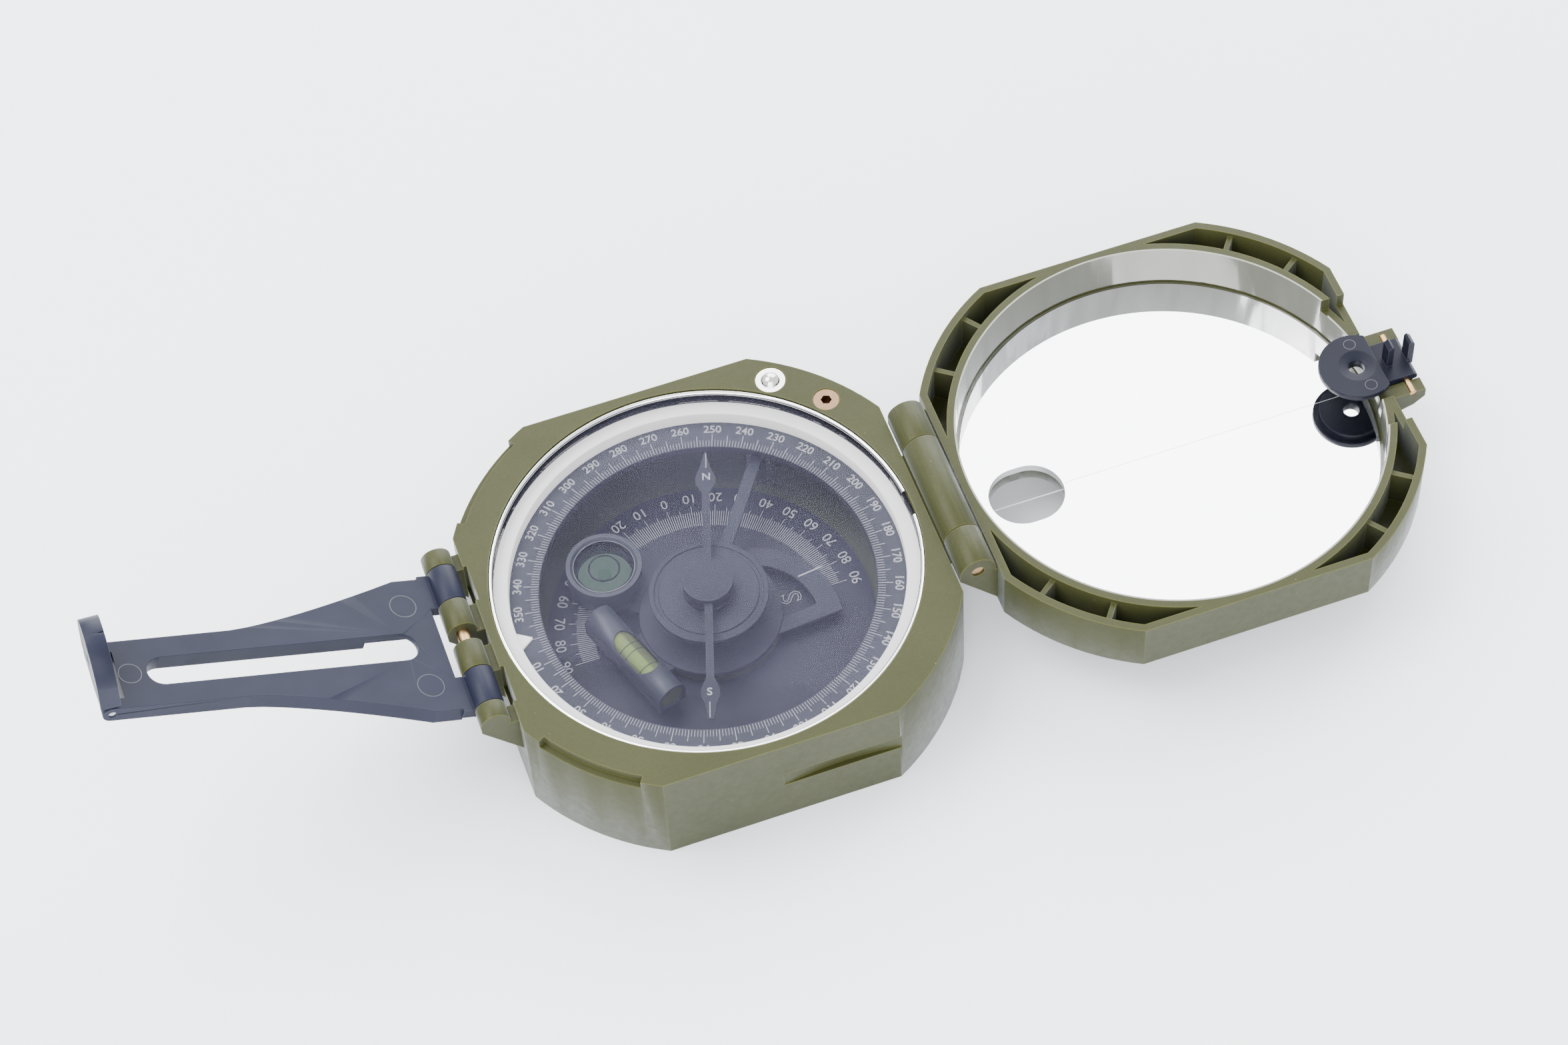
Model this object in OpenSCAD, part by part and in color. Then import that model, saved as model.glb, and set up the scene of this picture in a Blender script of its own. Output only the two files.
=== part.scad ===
// Pocket sighting compass with a clinometer, opened flat for sighting.
// The origin is the needle's axis at the base. +X runs along the line of sight to the mirror lid,
// +Y is the case's far side and +Z is up.

/* [Case] */
// Distance across the flats of case and lid
across_flats = 75; // [72:1:92]
// How far the round corners reach beyond the flats
corner_reach = 4.95; // [4:0.05:7]
// Height of the case
case_h = 20.5; // [20.5:0.1:25]
// Diameter of the opening that takes the glass
opening_d = 71.76; // [68:0.02:72]
// Thickness of the bottom cover
base_t = 2.2; // [1.8:0.1:2.8]
// Height of the bottom cover's raised rim and centre boss
boss_top = 4.4; // [4:0.1:5]
// Diameter of the bottom cover's centre boss
boss_d = 23; // [18:0.5:24]
// Width of the case's foot outside the bottom cover
foot_w = 1.2; // [0.8:0.1:1.6]
// Length of the slot in each side
side_slot_l = 21.5; // [12:0.5:24]
// Height of the slot in each side
side_slot_h = 3.2; // [2:0.1:4]
// Depth of the side slots at their middle
side_slot_depth = 0.9; // [0.4:0.1:1]

/* [Dial] */
// Inner diameter of the white index ring
index_bore_d = 65.7; // [62:0.1:67]
// Inner diameter of the graduated ring
scale_bore_d = 56; // [53:0.5:58]
// Thickness of the graduated ring
scale_t = 1.4; // [1.2:0.1:1.8]
// Diameter of the dark clinometer plate
plate_d = 55; // [50:0.5:60]
// Thickness of the clinometer plate
plate_t = 1; // [0.8:0.1:1.4]
// Thickness of the cover glass
glass_t = 1.6; // [1.2:0.1:2]
// Wire size of the ring that holds the glass
wire_d = 0.9; // [0.6:0.1:1]
// Gear module of the graduated ring and its pinion
gear_module = 0.4; // [0.38:0.005:0.42]
// Teeth around the graduated ring
ring_teeth = 180; // [172:1:182]
// Teeth of the adjuster's pinion
pinion_teeth = 13; // [12:1:14]
// Direction of the adjuster from the needle's axis, in degrees
adjuster_angle = 39.7; // [36:0.1:42]

/* [Needle] */
// Length of the needle from tip to tip
needle_l = 53; // [44:0.5:54]
// Width of the needle's bar
needle_w = 1.3; // [0.9:0.1:1.8]
// Diameter of the needle's cap
cap_d = 8.4; // [7:0.1:9.4]
// Direction of the needle's north end, in degrees
needle_angle = 72.5; // [0:0.5:360]

/* [Needle lift] */
// Diameter of the disc that lifts the needle
lift_disc_d = 20; // [16:0.5:22]
// Distance of the lock button from the needle's axis
button_r = 38.87; // [38.5:0.01:39]
// Direction of the lock button, in degrees
button_angle = 55.1; // [54:0.1:60]
// Diameter of the lock button's flange
button_d = 5.1; // [4:0.1:5.2]
// Travel of the lock button
button_travel = 0.4; // [0.2:0.05:0.5]
// Distance of the lever's pivot from the needle's axis
fulcrum_r = 31; // [30:0.1:31.4]

/* [Clinometer] */
// Direction of the clinometer's index line, in degrees
index_angle = 6.7; // [0:0.1:360]
// Diameter of the round level's cup
round_level_d = 12.8; // [10:0.1:13]
// Distance of the round level from the axis
round_level_r = 19.1; // [17:0.1:19.4]
// Width of the tube level's housing
tube_level_w = 5.4; // [4.6:0.1:5.6]
// Length of the tube level's housing
tube_level_l = 20.4; // [16:0.1:21]
// Distance of the tube level from the axis
tube_level_r = 15.8; // [15:0.1:16.5]
// Length of the window over the tube level
tube_window_l = 9.6; // [7:0.1:11]
// Width of the window over the tube level
tube_window_w = 4.3; // [3:0.1:4.4]
// Angle from the index line to the round level, in degrees
round_level_turn = 132.5; // [120:0.5:140]
// Angle from the index line to the tube level, in degrees
tube_level_turn = 192.5; // [188:0.5:200]
// Diameter of the clinometer's shaft
shaft_d = 5; // [4:0.1:6]
// Diameter of the recess for the clinometer's lever
lever_recess_d = 20; // [16:0.5:20]
// Depth of the recess for the clinometer's lever
lever_recess_t = 2.4; // [2:0.1:2.6]

/* [Lid] */
// Height of the lid's side walls
lid_wall_h = 9.9; // [9:0.1:12]
// Depth of the lid's back beyond its side walls
lid_back_t = 2.3; // [2:0.1:3]
// Depth of the mirror's face below the lid's rim
mirror_depth = 8.66; // [8:0.01:9]
// Thickness of the mirror
mirror_t = 1.5; // [1:0.1:2]
// Diameter of the lid's bore
lid_bore_d = 72; // [68:0.1:72.4]
// Length of the sighting window along the line of sight
window_l = 13; // [12.5:0.1:14]
// Width of the sighting window
window_w = 11.4; // [9:0.1:12]
// Diameter of the lid hinge's knuckles
lid_barrel_d = 6.2; // [5.6:0.1:6.4]
// Half length of the lid hinge's middle knuckle
lid_knuckle = 9.6; // [8:0.1:11]
// Half length of the whole lid hinge
lid_hinge_half = 17.2; // [15:0.1:18]
// Gap between the lid hinge's knuckles and the case's flat
lid_hinge_gap = 0.47; // [0.4:0.01:0.9]
// Diameter of the hinge pins
pin_d = 2.2; // [1.8:0.1:2.6]

/* [Short sight] */
// Diameter of the short sight's disc
short_disc_d = 13; // [11:0.1:13.4]
// Diameter of the short sight's peep hole
peep_d = 2.8; // [1.5:0.1:3.4]

/* [Sight arm] */
// Length of the arm from its hinge to its tip joint
arm_l = 60.2; // [54:0.1:62]
// Thickness of the arm
arm_t = 3.1; // [2.8:0.1:3.2]
// Half width of the arm at its hinge
arm_root_half = 13.3; // [13:0.1:13.4]
// Half width of the arm at its tip
arm_tip_half = 6.6; // [6:0.1:7.5]
// Angle the arm stands above the horizontal, in degrees
arm_raise = 20.5; // [0:0.5:30]
// Width of the sighting slot
arm_slot_w = 5.3; // [4.4:0.1:5.6]
// Diameter of the arm hinge's knuckles
arm_barrel_d = 5; // [4.4:0.1:5]
// Gap between the arm hinge's knuckles and the case's flat
arm_hinge_gap = 1.3; // [1.2:0.05:1.7]
// Height of the tip sight above its pin
tip_h = 13.3; // [10:0.1:13.3]
// Angle between the tip sight and the arm's line, in degrees
tip_fold = 74; // [60:1:90]

/* [Clearances] */
// Gap between pieces that move past each other
gap = 0.3; // [0.25:0.05:0.4]
// Radial play of a shaft in its bearing
play = 0.05; // [0.02:0.01:0.09]
// Radial play of a seated or pressed piece
seat = 0.02; // [0.01:0.01:0.05]

/* [Hidden] */
$fn = 96;

// Case
flat = across_flats / 2;
corner_r = flat + corner_reach;
opening_r = opening_d / 2;
hinge_z = case_h + 0.1;
lip_w = 0.7;
groove_depth = 0.2;
side_slot_z = 9.1;
thumb_notch_span = [122.9, 147.7];
thumb_notch_h = 1.6;
thumb_notch_depth = 1.3;
web_drop = 10;
web_sink = 0.5;

// Levels of the works, from the bottom cover up
plate_top = base_t + plate_t;
bracket_z = boss_top + 0.5;
bracket_t = 1;
bracket_top = bracket_z + bracket_t;
lever_t = 0.6;
lever_z = bracket_top + 5.4;
lever_mid = lever_z + lever_t / 2;
disc_z = lever_z + lever_t + 0.1;
disc_t = 0.7;
scale_z = disc_z + disc_t + 0.5;
scale_top = scale_z + scale_t;
lip_z = scale_top + 0.15;
lip_t = 0.4;
index_top = lip_z + 2.65;
gasket_t = 0.3;
glass_z = index_top + gasket_t;
glass_top = glass_z + glass_t;

// Gear pair
pitch_ring = gear_module * ring_teeth / 2;
pitch_pinion = gear_module * pinion_teeth / 2;
adjuster_r = pitch_ring + pitch_pinion;
addendum = 0.7 * gear_module;
dedendum = gear_module;
cavity_r = pitch_ring + addendum + 0.17;
pinion_bore_r = pitch_pinion + addendum + 0.12;
adjuster_head_r = 2.2;
adjuster_shaft_r = 1.5;
adjuster_tail_r = 1;

// Lift works
button_stem_r = 1.2;
spring_pocket_r = 2.1;
spring_z = case_h - 5;
flange_z = case_h - 0.6;
lever_end_r = button_r + 1.1;
lever_tip_r = lift_disc_d / 2 - 1.4;
lever_w = 2;
fulcrum_pin_r = 0.5;
post_r = 1;

// Bottom cover
screw_angles = [45, 135, 225, 315];
screw_r = corner_r - 3.35;
screw_thread_r = 0.88;
screw_head_r = 1.85;
screw_head_t = 1;
cover_rim_w = 2;
cover_rim_r = cavity_r - 0.2;
cover_gap = 0.12;
seal_z = base_t + 0.5;
seal_h = 0.7;
seal_w = 0.65;
dial_screw_angles = [15, 195];
dial_screw_r = 18;
dial_thread_r = 0.6;
dial_head_r = 1.35;

// Lid
lid_axis_off = lid_barrel_d / 2 + lid_hinge_gap;
lid_axis_x = flat + lid_axis_off;
lid_x = 2 * lid_axis_x;
rim_z = hinge_z - 0.2;
lid_floor_z = rim_z - lid_wall_h;
lid_back_z = lid_floor_z - lid_back_t;
mirror_z = rim_z - mirror_depth;
lid_bore_r = lid_bore_d / 2;
mirror_r = lid_bore_r - 0.6;
lid_ring_r = lid_bore_r + 1.5;
lid_skin = 1.3;
lid_rib_t = 0.9;
lid_pocket_depth = 8;
mirror_groove = 0.4;
notch_depth = 2.7;
notch_half = arm_root_half + 0.6;
rib_angles = [for (a = screw_angles, s = [-1, 1]) a + 8.3 * s];
window_x = lid_axis_x + 15.3;

// Arm
arm_axis_off = arm_barrel_d / 2 + arm_hinge_gap;
arm_axis_x = -(flat + arm_axis_off);
arm_knuckles = [1.45, 6.85, 13.9, 17.2];
knuckle_gap = gap / 4;
arm_pin_half = arm_knuckles[3] - 0.7;
arm_relief = 0.6;
arm_top = -0.25;
arm_mid = arm_top - arm_t / 2;
flare_end = 38;
flare_start = 8.8;
arm_edge = 3.8;
slot_near = 8.1;
slot_far = arm_l - 6.9;
tip_pin_r = 0.6;
cheek_half = 4.5;
tip_peep_r = 1;

// Short sight
sight_pin_x = lid_x - arm_axis_x;
sight_pin_z = rim_z - 4;
sight_pin_r = 0.6;
ear_top = rim_z - notch_depth;
ear_in = 4.3;
ear_out = 6.9;
short_reach = 3.7;
short_x = lid_x + flat - short_reach;
short_top = ear_top + 1.5;
fork_half = pin_d / 2 + 0.2;
fork_prong = 1.1;
fork_y = 1.1;
fork_h = 2;
short_disc_t = 1.2;
short_step_t = 2.3;

// ---- shared shapes ----

module tube(r_out, r_in, h) {
    difference() {
        cylinder(h = h, r = r_out);
        translate([0, 0, -1]) cylinder(h = h + 2, r = r_in);
    }
}

// Cylinder along Y from y0 to y1
module along_y(r, y0, y1) {
    translate([0, y1, 0]) rotate([90, 0, 0]) cylinder(h = y1 - y0, r = r);
}

// Prism along Y from y0 to y1 with its outline in X and Z
module prism_y(points, y0, y1) {
    translate([0, y1, 0]) rotate([90, 0, 0]) linear_extrude(y1 - y0) polygon(points);
}

// The eight-sided outline with round corners, taken in by inset
module outline(inset, h) {
    linear_extrude(h) intersection() {
        circle(r = corner_r - inset);
        square(2 * (flat - inset), center = true);
    }
}

// The outline with its lower edge bevelled
module bevelled_outline(h, bevel) {
    f = flat;
    side = [[-f + bevel, 0], [f - bevel, 0], [f, h], [-f, h]];
    intersection() {
        cylinder(h = h, r1 = corner_r - bevel, r2 = corner_r);
        prism_y(side, -f - 1, f + 1);
        rotate([0, 0, 90]) prism_y(side, -f - 1, f + 1);
    }
}

module sector(r, a0, a1, h) {
    steps = 6;
    linear_extrude(h) polygon(concat([[0, 0]],
        [for (i = [0 : steps]) r * [cos(a0 + (a1 - a0) * i / steps), sin(a0 + (a1 - a0) * i / steps)]]));
}

module stadium(l, w, h) {
    linear_extrude(h) {
        square([l - w, w], center = true);
        for (s = [-1, 1]) translate([s * (l - w) / 2, 0]) circle(d = w);
    }
}

// Outline of a straight-flanked gear: four points a tooth
function gear_points(teeth, add, ded, thick) = [
    for (i = [0 : teeth - 1], p = [[-ded, thick + 0.45 * ded * 2], [add, thick - 0.45 * add * 2],
            [add, -thick + 0.45 * add * 2], [-ded, -thick - 0.45 * ded * 2]])
        let (pitch = gear_module * teeth / 2, r = pitch + p[0],
            a = 360 * i / teeth - p[1] / 2 / pitch * 180 / PI)
        [r * cos(a), r * sin(a)]];
tooth_thick = 0.38 * PI * gear_module;

// Web that carries a hinge knuckle from a wall: side is 1 when the wall lies towards +X
module knuckle_web(r, off, side, y0, y1, drop) {
    x = r - 0.05;
    prism_y([[-side * x, 0], [-side * x, -1.5], [side * off, -drop], [side * off, -0.9],
        [side * (r - 0.6), -0.9]], y0, y1);
}

// ---- case ----

module case() {
    color("darkolivegreen") difference() {
        union() {
            outline(0, case_h);
            arm_side_knuckles();
            lid_side_knuckle();
        }
        case_works_cuts();
        cover_pocket();
        adjuster_cuts();
        button_cuts();
        for (s = [-1, 1]) side_slot(s);
        for (s = [-1, 1]) thumb_notch(s);
        for (s = [-1, 1]) arm_knuckle_relief(s);
        translate([arm_axis_x, 0, hinge_z])
            along_y(pin_d / 2 + seat, -arm_pin_half - 0.1, arm_pin_half + 0.1);
        translate([lid_axis_x, 0, hinge_z]) along_y(pin_d / 2 + play, -lid_knuckle - 1, lid_knuckle + 1);
    }
}

module arm_side_knuckles() {
    for (s = [-1, 1]) translate([arm_axis_x, 0, hinge_z]) {
        for (k = [0, 2]) {
            y0 = s > 0 ? arm_knuckles[k] + knuckle_gap : -arm_knuckles[k + 1];
            y1 = s > 0 ? arm_knuckles[k + 1] : -arm_knuckles[k] - knuckle_gap;
            along_y(arm_barrel_d / 2, y0, y1);
            knuckle_web(arm_barrel_d / 2, arm_axis_off + web_sink, 1, y0, y1, web_drop);
        }
    }
}

// Shallow pocket in the case's flat that clears a knuckle of the arm
module arm_knuckle_relief(s) {
    w = arm_knuckles[2] - arm_knuckles[1] - play;
    translate([-flat - 1, s * (arm_knuckles[1] + arm_knuckles[2]) / 2 - w / 2, case_h - 6])
        cube([1 + arm_relief, w, 7]);
}

module lid_side_knuckle() {
    translate([lid_axis_x, 0, hinge_z]) {
        along_y(lid_barrel_d / 2, -lid_knuckle, lid_knuckle);
        knuckle_web(lid_barrel_d / 2, lid_axis_off + web_sink, -1, -lid_knuckle, lid_knuckle, web_drop);
    }
}

module case_works_cuts() {
    translate([0, 0, -1]) cylinder(h = lip_z + 1, r = cavity_r);
    translate([0, 0, lip_z - 1]) cylinder(h = case_h, r = opening_r - lip_w);
    translate([0, 0, lip_z + lip_t]) cylinder(h = case_h, r = opening_r);
    translate([0, 0, glass_top - 0.02]) cylinder(h = wire_d + 0.06, r = opening_r + groove_depth);
}

module cover_pocket() {
    translate([0, 0, -1]) outline(foot_w - cover_gap, base_t + 1);
    for (a = screw_angles) rotate([0, 0, a]) translate([screw_r, 0, 0])
        cylinder(h = 8, r = screw_thread_r + seat);
}

module adjuster_cuts() {
    rotate([0, 0, adjuster_angle]) translate([adjuster_r, 0, 0]) {
        translate([0, 0, case_h - 1.5]) cylinder(h = 2, r = adjuster_head_r + play);
        translate([0, 0, lip_z - 1]) cylinder(h = case_h, r = adjuster_shaft_r + play);
        translate([0, 0, 1]) cylinder(h = lip_z - 1.1, r = pinion_bore_r);
    }
}

module button_cuts() {
    rotate([0, 0, button_angle]) {
        translate([button_r, 0, 0]) {
            translate([0, 0, flange_z - 0.7]) cylinder(h = 3, r = button_d / 2 + 0.1);
            translate([0, 0, spring_z]) cylinder(h = 6, r = spring_pocket_r);
            translate([0, 0, lever_z]) cylinder(h = spring_z - lever_z + 1, r = button_stem_r + play);
        }
        translate([cavity_r - 2, -lever_w / 2 - 0.7, 2])
            cube([lever_end_r + 0.6 - cavity_r + 2, lever_w + 1.4, disc_z + 0.9 - 2]);
    }
}

// Slot in a side wall, deepest at its middle
module side_slot(s) {
    steps = 8;
    mirror([0, s > 0 ? 1 : 0, 0]) translate([0, 0, side_slot_z]) linear_extrude(side_slot_h)
        polygon(concat([[0, -flat - 6], [0, -flat + 0.08]],
            [for (i = [0 : steps]) let (u = i / steps)
                [side_slot_l * u, -flat + 0.08 + side_slot_depth * sin(180 * u)]],
            [[side_slot_l, -flat - 6]]));
}

module thumb_notch(s) {
    translate([0, 0, case_h - thumb_notch_h]) intersection() {
        tube(corner_r + 1, corner_r - thumb_notch_depth, 3);
        sector(corner_r + 6, s * thumb_notch_span[s > 0 ? 0 : 1], s * thumb_notch_span[s > 0 ? 1 : 0], 3);
    }
}

// ---- bottom cover ----

module base_cover() {
    color("darkolivegreen") difference() {
        union() {
            outline(foot_w, base_t);
            tube(cover_rim_r, cover_rim_r - cover_rim_w, boss_top);
            cylinder(h = boss_top, d = boss_d);
        }
        translate([0, 0, -1]) cylinder(h = lever_recess_t + 1, d = lever_recess_d);
        translate([0, 0, -1]) cylinder(h = boss_top + 2, r = shaft_d / 2 + 1.2 + seat);
        for (a = screw_angles) rotate([0, 0, a]) translate([screw_r, 0, -1]) {
            cylinder(h = 8, r = screw_thread_r + 0.22);
            cylinder(h = 1.2 + screw_head_t, r = screw_head_r + 0.15);
        }
        for (a = dial_screw_angles) rotate([0, 0, a]) translate([dial_screw_r, 0, -1]) {
            cylinder(h = base_t + 2, r = dial_thread_r + 0.1);
            cylinder(h = 1.9, r = dial_head_r + 0.15);
        }
        translate([0, 0, seal_z]) tube(cavity_r + 1, cover_rim_r - seal_w, seal_h);
    }
}

module cover_seal() {
    color("dimgray") translate([0, 0, seal_z + seat])
        tube(cavity_r - seat, cover_rim_r - seal_w + seat, seal_h - 2 * seat);
}

module base_screws() {
    color("silver") for (a = screw_angles) rotate([0, 0, a]) translate([screw_r, 0, 0]) difference() {
        union() {
            translate([0, 0, 0.15]) cylinder(h = screw_head_t, r = screw_head_r);
            translate([0, 0, 0.6]) cylinder(h = 6.2, r = screw_thread_r);
        }
        translate([-2.5, -0.25, -0.5]) cube([5, 0.5, 1]);
    }
}

// ---- dial ----

module dial_plate() {
    color("darkslategray") translate([0, 0, base_t]) difference() {
        cylinder(h = plate_t, d = plate_d);
        translate([0, 0, -1]) cylinder(h = 3, d = boss_d + 0.6);
        for (a = dial_screw_angles) rotate([0, 0, a]) translate([dial_screw_r, 0, -1])
            cylinder(h = 1.75, r = dial_thread_r + seat);
    }
}

module dial_screws() {
    color("silver") for (a = dial_screw_angles) rotate([0, 0, a]) translate([dial_screw_r, 0, 0])
        difference() {
            union() {
                translate([0, 0, 0.2]) cylinder(h = 0.65, r = dial_head_r);
                translate([0, 0, 0.5]) cylinder(h = base_t + 0.2, r = dial_thread_r);
            }
            translate([-1.5, -0.2, 0]) cube([3, 0.4, 0.5]);
        }
}

module ring_carrier() {
    color("dimgray") difference() {
        translate([0, 0, boss_top]) tube(cover_rim_r, cover_rim_r - cover_rim_w, scale_z - 0.15 - boss_top);
        rotate([0, 0, button_angle]) translate([cavity_r - 4, -lever_w / 2 - 0.7, lever_z - 1.2])
            cube([6, lever_w + 1.4, 8]);
        rotate([0, 0, adjuster_angle]) translate([adjuster_r, 0, base_t])
            cylinder(h = 20, r = pinion_bore_r);
    }
}

module index_ring() {
    color("ivory") {
        translate([0, 0, lip_z + lip_t]) tube(opening_r - 0.1, index_bore_d / 2, index_top - lip_z - lip_t);
        translate([0, 0, lip_z + 0.05]) tube(opening_r - 0.8, index_bore_d / 2, lip_t + 0.2);
        rotate([0, 0, 180]) translate([0, 0, lip_z + 0.05]) linear_extrude(0.5)
            polygon([[index_bore_d / 2 + 0.6, -2.2], [index_bore_d / 2 + 0.6, 2.2],
                [index_bore_d / 2 - 2.6, 0]]);
    }
}

module glass_gasket() {
    color("black") translate([0, 0, index_top]) tube(opening_r - 0.1, opening_r - 0.6, gasket_t);
}

module cover_glass() {
    color("lightcyan", 0.3) translate([0, 0, glass_z]) cylinder(h = glass_t, r = opening_r - 0.08);
}

module retaining_ring() {
    color("silver") translate([0, 0, glass_top + wire_d / 2 + 0.01]) rotate([0, 0, 4])
        rotate_extrude(angle = 352) translate([opening_r + groove_depth - 0.03 - wire_d / 2, 0])
            circle(d = wire_d, $fn = 24);
}

module azimuth_ring() {
    color("slategray") translate([0, 0, scale_z]) rotate([0, 0, adjuster_angle]) difference() {
        linear_extrude(scale_t) polygon(gear_points(ring_teeth, addendum, dedendum, tooth_thick));
        translate([0, 0, -1]) cylinder(h = scale_t + 2, d = scale_bore_d);
    }
}

module adjuster_screw() {
    color("goldenrod") rotate([0, 0, adjuster_angle]) translate([adjuster_r, 0, 0]) difference() {
        union() {
            translate([0, 0, case_h - 1.45]) cylinder(h = 1.3, r = adjuster_head_r);
            translate([0, 0, lip_z + 0.1])
                cylinder(h = case_h - 1.5 - lip_z, r = adjuster_shaft_r);
            translate([0, 0, scale_z - 1]) cylinder(h = lip_z + 0.2 - scale_z + 1, r = adjuster_tail_r);
        }
        translate([0, 0, case_h - 2.2]) cylinder(h = 3, r = 0.95, $fn = 6);
    }
}

// The pinion starts half a tooth round, so that a gap faces the ring's tooth
module adjuster_pinion() {
    color("goldenrod") rotate([0, 0, adjuster_angle]) translate([adjuster_r, 0, scale_z - 0.05])
        rotate([0, 0, 180 + 180 / pinion_teeth]) difference() {
            linear_extrude(scale_t) polygon(gear_points(pinion_teeth, addendum, dedendum, tooth_thick));
            translate([0, 0, -1]) cylinder(h = 4, r = adjuster_tail_r + seat);
        }
}

// ---- needle and lift ----

module lock_button() {
    color("silver") rotate([0, 0, button_angle]) translate([button_r, 0, 0]) {
        translate([0, 0, flange_z]) cylinder(h = 0.45, r = button_d / 2);
        intersection() {
            translate([0, 0, flange_z - 0.2]) sphere(r = 1.75);
            translate([0, 0, flange_z]) cylinder(h = 3, r = 3);
        }
        translate([0, 0, lever_z + lever_t + 0.05])
            cylinder(h = flange_z - lever_z - lever_t, r = button_stem_r);
    }
}

// Coil of round wire, swept by rings of points around a helix
function spring_rings(r, wire, h, turns, steps, sides) = [
    for (i = [0 : turns * steps]) let (a = 360 * i / steps, z = wire / 2 + (h - wire) * i / turns / steps)
        [for (j = [0 : sides - 1]) let (b = 360 * j / sides, q = r + wire / 2 * cos(b))
            [q * cos(a), q * sin(a), z + wire / 2 * sin(b)]]];

module coil(r, wire, h, turns) {
    steps = 16;
    sides = 6;
    rings = spring_rings(r, wire, h, turns, steps, sides);
    n = len(rings);
    points = [for (ring = rings, p = ring) p];
    walls = [for (i = [0 : n - 2], j = [0 : sides - 1])
        [i * sides + j, i * sides + (j + 1) % sides, (i + 1) * sides + (j + 1) % sides, (i + 1) * sides + j]];
    ends = [[for (j = [0 : sides - 1]) sides - 1 - j], [for (j = [0 : sides - 1]) (n - 1) * sides + j]];
    polyhedron(points, concat(walls, ends), convexity = 8);
}

module button_spring() {
    color("silver") rotate([0, 0, button_angle]) translate([button_r, 0, spring_z])
        coil(1.65, 0.4, flange_z - spring_z, 5);
}

module lift_lever() {
    color("lightslategray") rotate([0, 0, button_angle]) difference() {
        union() {
            translate([lever_tip_r, -lever_w / 2, lever_z])
                cube([lever_end_r - lever_tip_r, lever_w, lever_t]);
            translate([fulcrum_r, 0, lever_mid]) along_y(1.05, -lever_w / 2, lever_w / 2);
        }
        translate([fulcrum_r, 0, lever_mid]) along_y(fulcrum_pin_r + play, -2, 2);
    }
}

module fulcrum_bracket() {
    ear_y = lever_w / 2 + 0.25;
    color("silver") rotate([0, 0, button_angle]) difference() {
        for (s = [-1, 1]) translate([fulcrum_r - 1.3, s > 0 ? ear_y : -ear_y - 0.9, base_t])
            cube([2.6, 0.9, lever_mid + 1.1 - base_t]);
        translate([fulcrum_r, 0, lever_mid]) along_y(fulcrum_pin_r + seat, -5, 5);
    }
    color("silver") rotate([0, 0, button_angle]) translate([fulcrum_r - 1.3, -ear_y - 0.1, base_t])
        cube([2.6, 2 * ear_y + 0.2, 0.8]);
}

module fulcrum_pin() {
    color("silver") rotate([0, 0, button_angle]) translate([fulcrum_r, 0, lever_mid])
        along_y(fulcrum_pin_r, -lever_w / 2 - 1.1, lever_w / 2 + 1.1);
}

module lift_disc() {
    color("slategray") translate([0, 0, disc_z]) difference() {
        cylinder(h = disc_t, d = lift_disc_d);
        translate([0, 0, -1]) cylinder(h = 3, r = post_r + play);
        translate([0, 0, disc_t - 0.3]) tube(lift_disc_d / 2 - 0.9, lift_disc_d / 2 - 1.6, 1);
    }
}

needle_z = disc_z + disc_t + 2.3;
cap_z = disc_z + disc_t + 0.3;
cap_h = 3.1;
jewel_r = 1.4;

// Half outlines of the needle's ends, from the tip inwards: distance from the tip and half width
leaf_end = [[0, 0.05], [3.4, 0.9], [5.2, 1.75], [6.6, 1.6], [8.4, needle_w / 2]];
round_end = [[0, 0.35], [3, 0.9], [4.2, 1.45], [5.8, 1.55], [8, needle_w / 2]];

module needle_outline() {
    half = needle_l / 2;
    north = [for (p = leaf_end) [half - p[0], p[1]]];
    south = [for (i = [len(round_end) - 1 : -1 : 0]) [round_end[i][0] - half, round_end[i][1]]];
    side = concat(north, south);
    polygon(concat(side, [for (i = [len(side) - 1 : -1 : 0]) [side[i][0], -side[i][1]]]));
    circle(r = jewel_r + 1.2);
}

module needle_bar() {
    color("lightsteelblue") rotate([0, 0, needle_angle]) translate([0, 0, needle_z]) difference() {
        linear_extrude(0.3) needle_outline();
        translate([0, 0, -1]) cylinder(h = 3, r = jewel_r + seat);
    }
}

module needle_cap() {
    color("slategray") rotate([0, 0, needle_angle]) difference() {
        translate([0, 0, cap_z]) cylinder(h = cap_h, d = cap_d);
        translate([0, 0, cap_z - 1])
            cylinder(h = needle_z + 0.32 - cap_z + 1, d = cap_d - 2);
        translate([0, 0, cap_z - 1]) cylinder(h = cap_h + 0.6, r = jewel_r + seat);
        translate([-cap_d, -needle_w / 2 - seat, cap_z - 1])
            cube([2 * cap_d, needle_w + 2 * seat, needle_z + 0.32 - cap_z + 1]);
    }
}

module needle_jewel() {
    color("crimson") difference() {
        translate([0, 0, needle_z - 0.5]) cylinder(h = cap_z + cap_h - 0.45 - needle_z + 0.5, r = jewel_r);
        translate([0, 0, needle_z - 0.6]) cylinder(h = 1.2, r1 = 1.1, r2 = 0);
    }
}

module pivot_post() {
    color("silver") {
        translate([0, 0, disc_z - 1.8]) cylinder(h = needle_z - 0.8 - disc_z + 1.8, r = post_r);
        translate([0, 0, disc_z - 1.2]) cylinder(h = 0.8, r = 1.7);
        translate([0, 0, needle_z - 0.85]) cylinder(h = 1.3, r1 = 0.8, r2 = 0.05);
    }
}

// ---- clinometer ----

hub_top = disc_z - 1.2;
cup_h = 4.8;
tube_vial_r = tube_level_w / 2 - 0.45;
tube_axis_z = bracket_top + tube_vial_r + 0.15;
tube_liquid_r = tube_vial_r - 0.4;
tube_bubble_r = 0.75;
tube_bubble_half = 0.65;
tube_bubble_at = 2;
round_bubble_r = 1.15;
round_bubble_at = [-0.47, 1];
round_vial_r = round_level_d / 2 - 1.25;

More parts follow.
